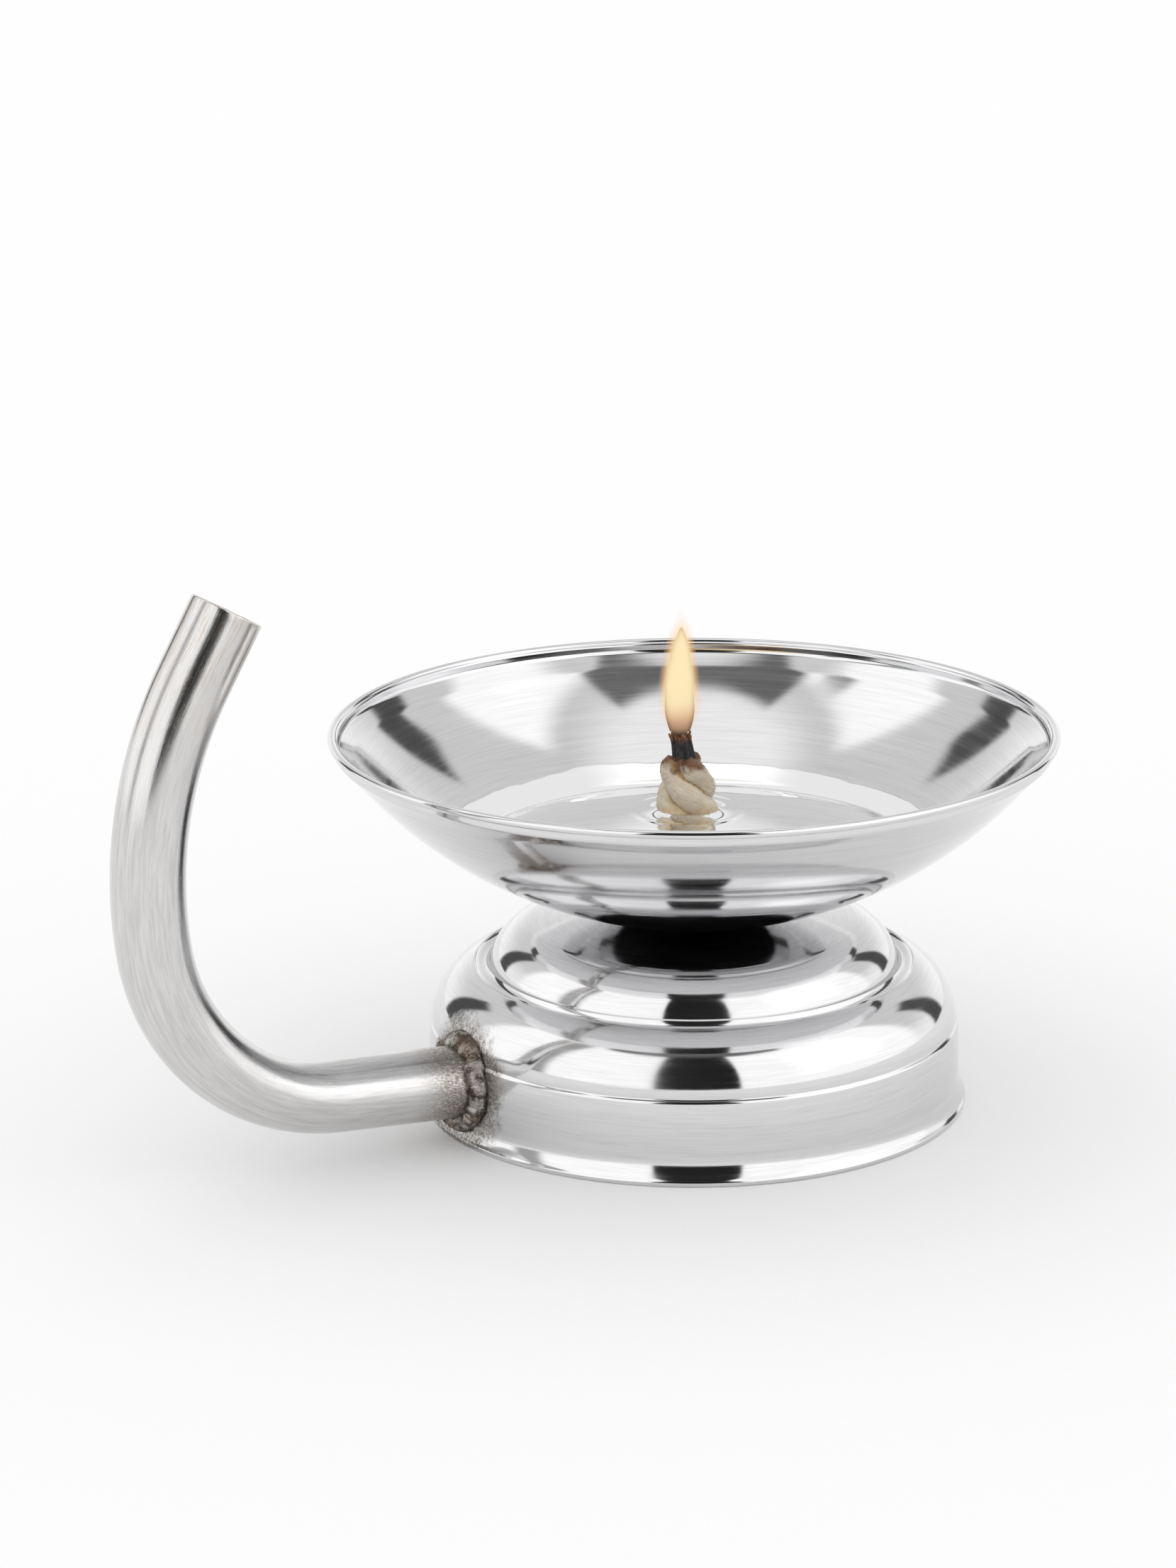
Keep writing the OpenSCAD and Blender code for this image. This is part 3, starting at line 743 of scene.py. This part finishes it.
def ply_growth():
    """One ply: a thick strand that winds round the wick and has its own fine ridges."""
    tree, given = new_growth("twisted ply", [("Turn", "Float"), ("Lay", "Float"), ("Sides", "Int"),
                                             ("Seed", "Float"), ("Material", "Material")])
    line = add(tree, "GeometryNodeCurvePrimitiveLine", {"End": (0, 0, 1)}).outputs[0]
    line = add(tree, "GeometryNodeResampleCurve", {"Curve": line, "Count": 120}).outputs[0]
    along = add(tree, "GeometryNodeSplineParameter").outputs["Factor"]
    bow = sums(tree, "SINE", sums(tree, "MULTIPLY", along, 0.93 * math.pi / 2))
    z = sums(tree, "ADD", sums(tree, "MULTIPLY", bow, (PLY_TOP_Z + 0.05 - PLY_BASE_Z) * MM),
             PLY_BASE_Z * MM)
    up = sums(tree, "DIVIDE", sums(tree, "SUBTRACT", z, OIL_Z * MM), (PLY_TOP_Z - OIL_Z) * MM)
    side = sums(tree, "MULTIPLY", sums(tree, "SUBTRACT", 1.0, sums(tree, "MULTIPLY",
                                                                   sums(tree, "MINIMUM",
                                                                        sums(tree, "MAXIMUM", up,
                                                                             0.0), 1.0), 0.30)), WICK_R * MM)
    top = ramped(tree, up, 0.80, 1.05)
    wide = sums(tree, "ADD", sums(tree, "MULTIPLY", side, sums(tree, "SUBTRACT", 1.0, top)),
                sums(tree, "MULTIPLY", top, NECK_R * MM))
    wound = sums(tree, "DIVIDE", sums(tree, "MULTIPLY", sums(tree, "SUBTRACT", z, PLY_BASE_Z * MM),
                                      2 * math.pi), given["Lay"])
    turn = sums(tree, "SUBTRACT", given["Turn"], wound)
    out = sums(tree, "MULTIPLY", wide, 0.54)
    x = sums(tree, "ADD", lean_at(tree, z), sums(tree, "MULTIPLY", out, sums(tree, "COSINE", turn)))
    y = sums(tree, "MULTIPLY", out, sums(tree, "SINE", turn))
    caught = add(tree, "GeometryNodeCaptureAttribute", domain="POINT")
    caught.capture_items.new("FLOAT", "along")
    caught.capture_items.new("FLOAT", "wide")
    tree.links.new(line, caught.inputs[0])
    tree.links.new(along, caught.inputs[1])
    tree.links.new(wide, caught.inputs[2])
    line = add(tree, "GeometryNodeSetPosition", {"Geometry": caught.outputs[0],
                                                 "Position": packed(tree, x, y, z)}).outputs[0]
    lumpy = cloud(tree, packed(tree, given["Seed"], sums(tree, "MULTIPLY", along, 7.0), 0.0), 1.0, 2.0)
    thick = sums(tree, "MULTIPLY", caught.outputs[2], ramped(tree, lumpy, 0.3, 0.7, 0.45, 0.52))
    ring = add(tree, "GeometryNodeCurvePrimitiveCircle", {"Resolution": given["Sides"],
                                                          "Radius": 1.0}).outputs[0]
    around = add(tree, "GeometryNodeCaptureAttribute", domain="POINT")
    around.capture_items.new("FLOAT", "around")
    tree.links.new(ring, around.inputs[0])
    tree.links.new(add(tree, "GeometryNodeSplineParameter").outputs["Factor"], around.inputs[1])
    strand = add(tree, "GeometryNodeCurveToMesh", {"Curve": line, "Profile Curve": around.outputs[0],
                                                   "Scale": thick, "Fill Caps": True}).outputs[0]
    spin = sums(tree, "ADD", sums(tree, "MULTIPLY", around.outputs[1], 2 * math.pi),
                sums(tree, "MULTIPLY", caught.outputs[1], 5.0))
    fibre = packed(tree, sums(tree, "COSINE", spin), sums(tree, "SINE", spin), caught.outputs[1])
    shifted = add(tree, "ShaderNodeVectorMath", {0: fibre, 1: packed(tree, given["Seed"], given["Seed"],
                                                                     given["Seed"])}).outputs[0]
    u, v, t = split(tree, shifted)
    ridges = cloud(tree, packed(tree, sums(tree, "MULTIPLY", u, 5.0), sums(tree, "MULTIPLY", v, 5.0),
                                sums(tree, "MULTIPLY", t, 5.0)), 1.0, 4.0, 0.7)
    push = sums(tree, "MULTIPLY", sums(tree, "SUBTRACT", ridges, 0.52), 0.75 * MM)
    normal = add(tree, "GeometryNodeInputNormal").outputs[0]
    offset = add(tree, "ShaderNodeVectorMath", {0: normal, "Scale": push}, operation="SCALE").outputs[0]
    strand = add(tree, "GeometryNodeSetPosition", {"Geometry": strand, "Offset": offset}).outputs[0]
    px, py, pz = split(tree, add(tree, "GeometryNodeInputPosition").outputs[0])
    px = sums(tree, "SUBTRACT", px, lean_at(tree, pz))
    far = sums(tree, "SQRT", sums(tree, "ADD", sums(tree, "MULTIPLY", px, px),
                                  sums(tree, "MULTIPLY", py, py)))
    # the inner faces of the ply, where the plies press together, kept as the groove mask for painted shade in the
    # cotton
    crevice_shade = ramped(tree, sums(tree, "DIVIDE", far, caught.outputs[2]), 0.92, 0.66)
    strand = add(tree, "GeometryNodeStoreNamedAttribute", {"Geometry": strand, "Name": "fibre_place",
                                                           "Value": shifted},
                 data_type="FLOAT_VECTOR", domain="POINT").outputs[0]
    strand = add(tree, "GeometryNodeStoreNamedAttribute", {"Geometry": strand, "Name": "groove",
                                                           "Value": crevice_shade},
                 data_type="FLOAT", domain="POINT").outputs[0]
    close_growth(tree, at_wick(tree, strand), given["Material"])
    return tree


def fuzz_growth():
    """Short loose fibres that stand off the cotton."""
    tree, given = new_growth("loose fibres", [("Density", "Float"), ("Length", "Float"), ("Seed", "Int"),
                                              ("Material", "Material")])
    spots = add(tree, "GeometryNodeDistributePointsOnFaces", {"Mesh": given["Geometry"],
                                                              "Density": given["Density"], "Seed": given["Seed"]})
    hair = add(tree, "GeometryNodeCurveQuadraticBezier", {"Resolution": 5, "Start": (0, 0, -0.1),
                                                          "Middle": (0.1, 0, 0.55), "End": (0.55, 0.1,
                                                                                            0.85)}).outputs[0]
    thin = add(tree, "GeometryNodeSplineParameter").outputs["Factor"]
    thin = sums(tree, "SUBTRACT", 1.0, sums(tree, "MULTIPLY", thin, 0.6))
    ring = add(tree, "GeometryNodeCurvePrimitiveCircle", {"Resolution": 4, "Radius": 0.018}).outputs[0]
    hair = add(tree, "GeometryNodeCurveToMesh", {"Curve": hair, "Profile Curve": ring, "Scale": thin,
                                                 "Fill Caps": True}).outputs[0]
    tilt = add(tree, "FunctionNodeRandomValue", {0: (-0.9, -0.9, -0.9), 1: (0.9, 0.9, 0.9)},
               data_type="FLOAT_VECTOR").outputs[0]
    turned = add(tree, "FunctionNodeAlignRotationToVector", {"Vector": add(tree, "ShaderNodeVectorMath",
                                                                           {0: spots.outputs["Normal"],
                                                                            1: tilt}).outputs[0]}).outputs[0]
    size = add(tree, "FunctionNodeRandomValue", {2: 0.35, 3: 1.0}, data_type="FLOAT").outputs[1]
    size = sums(tree, "MULTIPLY", size, given["Length"])
    hairs = add(tree, "GeometryNodeInstanceOnPoints", {"Points": spots.outputs[0], "Instance": hair,
                                                       "Rotation": turned, "Scale": packed(tree, size,
                                                                                           size, size)}).outputs[0]
    close_growth(tree, hairs, given["Material"])
    return tree


def char_growth():
    """A bundle of burnt strands, drawn together and frayed at the top."""
    tree, given = new_growth("burnt bundle", [("Strands", "Int"), ("Seed", "Int"),
                                              ("Material", "Material")])
    spots = add(tree, "GeometryNodePoints", {"Count": given["Strands"]}).outputs[0]
    number = add(tree, "GeometryNodeInputIndex").outputs[0]
    share = sums(tree, "DIVIDE", sums(tree, "ADD", number, 0.5), given["Strands"])
    ring = sums(tree, "SQRT", share)
    turn = sums(tree, "MULTIPLY", number, 2.39996)
    chance = add(tree, "FunctionNodeRandomValue", {0: (-1, -1, -1), 1: (1, 1, 1), "ID": number,
                                                   "Seed": given["Seed"]}, data_type="FLOAT_VECTOR").outputs[0]
    caught = add(tree, "GeometryNodeCaptureAttribute", domain="POINT")
    caught.capture_items.new("VECTOR", "chance")
    caught.capture_items.new("VECTOR", "spot")
    tree.links.new(spots, caught.inputs[0])
    tree.links.new(chance, caught.inputs[1])
    tree.links.new(packed(tree, sums(tree, "MULTIPLY", ring, sums(tree, "COSINE", turn)),
                          sums(tree, "MULTIPLY", ring, sums(tree, "SINE", turn)), ring), caught.inputs[2])
    line = add(tree, "GeometryNodeCurvePrimitiveLine", {"End": (0, 0, 1)}).outputs[0]
    line = add(tree, "GeometryNodeResampleCurve", {"Curve": line, "Count": 16}).outputs[0]
    lines = add(tree, "GeometryNodeInstanceOnPoints", {"Points": caught.outputs[0],
                                                       "Instance": line}).outputs[0]
    lines = add(tree, "GeometryNodeRealizeInstances", {0: lines}).outputs[0]
    t = add(tree, "GeometryNodeSplineParameter").outputs["Factor"]
    jx, jy, jz = split(tree, caught.outputs[1])
    sx, sy, sr = split(tree, caught.outputs[2])
    low, high = (PLY_TOP_Z - 0.9) * MM, (TIP_TOP_Z - 0.35) * MM
    top = sums(tree, "ADD", high, sums(tree, "MULTIPLY", jz, 0.33 * MM))
    z = sums(tree, "ADD", low, sums(tree, "MULTIPLY", t, sums(tree, "SUBTRACT", top, low)))
    waist = sums(tree, "POWER", sums(tree, "ABSOLUTE", sums(tree, "SUBTRACT", t, 0.62)), 2.0)
    wide = sums(tree, "ADD", 1.22 * MM, sums(tree, "MULTIPLY", waist, 1.9 * MM))
    fray = sums(tree, "MULTIPLY", sums(tree, "POWER", t, 4.0), 0.28 * MM)
    x = sums(tree, "ADD", sums(tree, "ADD", lean_at(tree, z), sums(tree, "MULTIPLY", sx, wide)),
             sums(tree, "MULTIPLY", jx, fray))
    y = sums(tree, "ADD", sums(tree, "MULTIPLY", sy, wide), sums(tree, "MULTIPLY", jy, fray))
    lines = add(tree, "GeometryNodeSetPosition", {"Geometry": lines,
                                                  "Position": packed(tree, x, y, z)}).outputs[0]
    thick = sums(tree, "MULTIPLY", ramped(tree, t, 0.55, 1.02, 0.40, 0.15), MM)
    ring = add(tree, "GeometryNodeCurvePrimitiveCircle", {"Resolution": 8, "Radius": 1.0}).outputs[0]
    bundle = add(tree, "GeometryNodeCurveToMesh", {"Curve": lines, "Profile Curve": ring, "Scale": thick,
                                                   "Fill Caps": True}).outputs[0]
    rough = cloud(tree, add(tree, "GeometryNodeInputPosition").outputs[0], 1900.0, 2.0)
    push = sums(tree, "MULTIPLY", sums(tree, "SUBTRACT", rough, 0.5), 0.22 * MM)
    offset = add(tree, "ShaderNodeVectorMath", {0: add(tree, "GeometryNodeInputNormal").outputs[0],
                                                "Scale": push}, operation="SCALE").outputs[0]
    bundle = add(tree, "GeometryNodeSetPosition", {"Geometry": bundle, "Offset": offset}).outputs[0]
    close_growth(tree, at_wick(tree, bundle), given["Material"])
    return tree


def spread_base(name, around=120, up=24):
    """The cotton fanned out on the floor of the dish, in soft radial folds."""
    turns = np.linspace(0, 2 * math.pi, around, endpoint=False)
    folds = 0.5 * np.sin(11 * turns + waves(turns, 31, 1, 4)) + 0.5 * waves(turns, 32, 14, 36)
    inner = BOWL_R - SHEET - 0.3
    rings, points = [], []
    for t in np.linspace(0, 1, up):
        wide = 4.95 - 1.9 * t ** 1.6
        rings.append(range(len(points), len(points) + around))
        for a, f in zip(turns, folds):
            r = wide * (1 + 0.045 * f * (1 - 0.5 * t))
            x, y = WICK.x + r * math.cos(a), WICK.y + r * math.sin(a)
            low = BOWL_CZ - math.sqrt(inner ** 2 - x * x - y * y)
            points.append((x, y, low + (31.33 - low) * t ** 0.9))
    caps = []
    for z, ring in ((None, rings[0]), (31.34, rings[-1])):
        caps.append([len(points)])
        low = BOWL_CZ - math.sqrt(inner ** 2 - WICK.x ** 2 - WICK.y ** 2)
        points.append((WICK.x, WICK.y, low if z is None else z))
    return solid(name, points, joined([caps[0]] + rings + [caps[1]]))


# Camera and studio

def studio_camera():
    bearing, pitch = math.radians(CAMERA_BEARING), math.radians(CAMERA_PITCH)
    lens = bpy.data.cameras.new("studio camera")
    camera = bpy.data.objects.new("studio camera", lens)
    bpy.context.scene.collection.objects.link(camera)
    camera.location = (CAMERA_OUT * math.cos(bearing), CAMERA_OUT * math.sin(bearing), CAMERA_UP)
    ahead = Vector((-math.cos(bearing) * math.cos(pitch), -math.sin(bearing) * math.cos(pitch),
                    -math.sin(pitch)))
    camera.rotation_euler = ahead.to_track_quat("-Z", "Y").to_euler()
    lens.sensor_fit = "HORIZONTAL"
    lens.sensor_width = 36.0
    lens.lens = PHOTO_FOCAL * lens.sensor_width / PHOTO_WIDTH
    lens.shift_x = -PHOTO_SHIFT / PHOTO_WIDTH
    lens.clip_start = 0.01
    bpy.context.scene.camera = camera


def studio_world():
    """White to the camera and to matt surfaces; metal and oil see two large white screens
    with a dark gap between them, a strip and two posts, and a white ceiling."""
    world = bpy.data.worlds.new("studio")
    bpy.context.scene.world = world
    world.use_nodes = True
    tree = world.node_tree
    tree.nodes.clear()
    x, y, z = split(tree, add(tree, "ShaderNodeTexCoord").outputs["Generated"])
    toward = sums(tree, "ADD", sums(tree, "MULTIPLY", x, -0.5), sums(tree, "MULTIPLY", y, -0.8660254))
    right = sums(tree, "ADD", sums(tree, "MULTIPLY", x, 0.8660254), sums(tree, "MULTIPLY", y, -0.5))
    side = sums(tree, "DEGREES", sums(tree, "ARCTAN2", right, toward))
    rise = sums(tree, "DEGREES", sums(tree, "ARCSINE", z))
    wide = sums(tree, "ABSOLUTE", side)

    def between(value, low, high, soft):
        rising = ramped(tree, value, low - soft / 2, low + soft / 2)
        falling = ramped(tree, value, high - soft / 2, high + soft / 2, 1.0, 0.0)
        return sums(tree, "MULTIPLY", rising, falling)

    def laid(value, mask, level):
        rest = sums(tree, "MULTIPLY", value, sums(tree, "SUBTRACT", 1.0, mask))
        return sums(tree, "ADD", rest, sums(tree, "MULTIPLY", mask, level))

    level = ramped(tree, rise, 4.0, 26.0, 1.15, 0.80)
    level = laid(level, ramped(tree, rise, 62.0, 76.0), 1.15)
    screens = sums(tree, "MULTIPLY", between(wide, 16.0, 113.0, 7.0), between(rise, -20.0, 60.0, 6.0))
    level = laid(level, screens, 1.35)
    hot = sums(tree, "MULTIPLY", between(side, 50.0, 90.0, 20.0), between(rise, 15.0, 50.0, 16.0))
    level = laid(level, hot, 1.7)
    strip = sums(tree, "MULTIPLY", between(side, -80.0, -67.0, 6.0), between(rise, -20.0, 58.0, 8.0))
    level = laid(level, strip, 0.45)
    posts = sums(tree, "MULTIPLY", between(wide, 130.0, 142.0, 3.0), between(rise, -20.0, 33.0, 4.0))
    level = laid(level, posts, 0.09)
    high = sums(tree, "MULTIPLY", ramped(tree, wide, 56.0, 62.0, 1.0, 0.0), between(rise, 58.0, 71.0, 4.0))
    level = laid(level, high, 0.17)
    gap = sums(tree, "MULTIPLY", between(side, -17.0, 20.0, 2.0), between(rise, -20.0, 60.0, 6.0))
    level = laid(level, gap, 0.018)
    path = add(tree, "ShaderNodeLightPath").outputs
    shiny = sums(tree, "MAXIMUM", path["Is Glossy Ray"], path["Is Transmission Ray"])
    shiny = sums(tree, "MULTIPLY", shiny, sums(tree, "SUBTRACT", 1.0, path["Is Camera Ray"]))
    seen = laid(1.0, shiny, level)
    back = add(tree, "ShaderNodeBackground", {"Color": colour(1, 1, 1), "Strength": seen})
    add(tree, "ShaderNodeOutputWorld", {"Surface": back.outputs[0]})


def studio_floor(finish):
    mesh = bpy.data.meshes.new("studio_floor")
    mesh.from_pydata([(-4, -4, 0), (4, -4, 0), (4, 4, 0), (-4, 4, 0)], [], [(0, 1, 2, 3)])
    floor = bpy.data.objects.new("studio_floor", mesh)
    bpy.context.scene.collection.objects.link(floor)
    mesh.materials.append(finish)


def fit(piece, body, slot, *nodes, finish=None):
    """Gives a finished piece its material, puts it on its body and hides the solids that it stands for."""
    if finish:
        piece.data.materials.clear()
        piece.data.materials.append(finish)
    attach(piece, body)
    if nodes:
        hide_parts(*nodes)


studio_camera()
studio_world()
studio_floor(matt_floor("white sweep"))

fit(spun("dish_spun", dish_section()), "lamp", "polished_steel", "dish",
    finish=spun_steel("spun dish steel"))
fit(spun("foot_spun", foot_section()), "lamp", "polished_steel", "stepped_foot",
    finish=spun_steel("spun foot steel", True))
fit(bent_tube("handle_bent"), "lamp", "tube_steel", "handle_tube", finish=tube_steel("drawn tube steel"))
weld_finish = weld_metal("weld scale")
fit(weld_bead("weld_run"), "lamp", "weld_steel", "handle_weld", finish=weld_finish)
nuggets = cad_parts["dish_spot_welds"].data.materials
nuggets.clear()
nuggets.append(weld_finish)
fit(oil_body("oil_surface"), "lamp", "lamp_oil", "oil_pool", finish=golden_oil("golden oil"))

wick_cotton = cotton("wick cotton")
ply_tree = ply_growth()
plies = []
for number in (1, 2, 3):
    ply = grown(f"ply_{number}", ply_tree, {"Turn": math.radians(120 * number), "Lay": WICK_LAY * MM,
                                            "Sides": 30,
                                            "Seed": 3.7 * number, "Material": wick_cotton})
    plies.append(ply)
fuzz_tree = fuzz_growth()
for number, ply in enumerate(plies, 1):
    fuzz = grown(f"ply_fibres_{number}", fuzz_tree, {"Density": 1.1e6, "Length": 0.9 * MM, "Seed": number,
                                                     "Material": wick_cotton}, start=ply)
    fit(fuzz, "wick", "cotton")
    fit(ply, "wick", "cotton", f"wick_ply_{number}")
char = charred_cotton("charred cotton")
fit(grown("burnt_tip", char_growth(), {"Strands": 34, "Seed": 4, "Material": char}), "wick",
    "charred_cotton", "wick_burnt_tip")
fit(spread_base("cotton_spread"), "wick", "cotton", "wick_foot", finish=wick_cotton)
fit(flame_shells("flame_glow"), "wick", "flame_light", "flame", finish=flame_light("flame light"))

bpy.context.scene.view_settings.view_transform = "Standard"
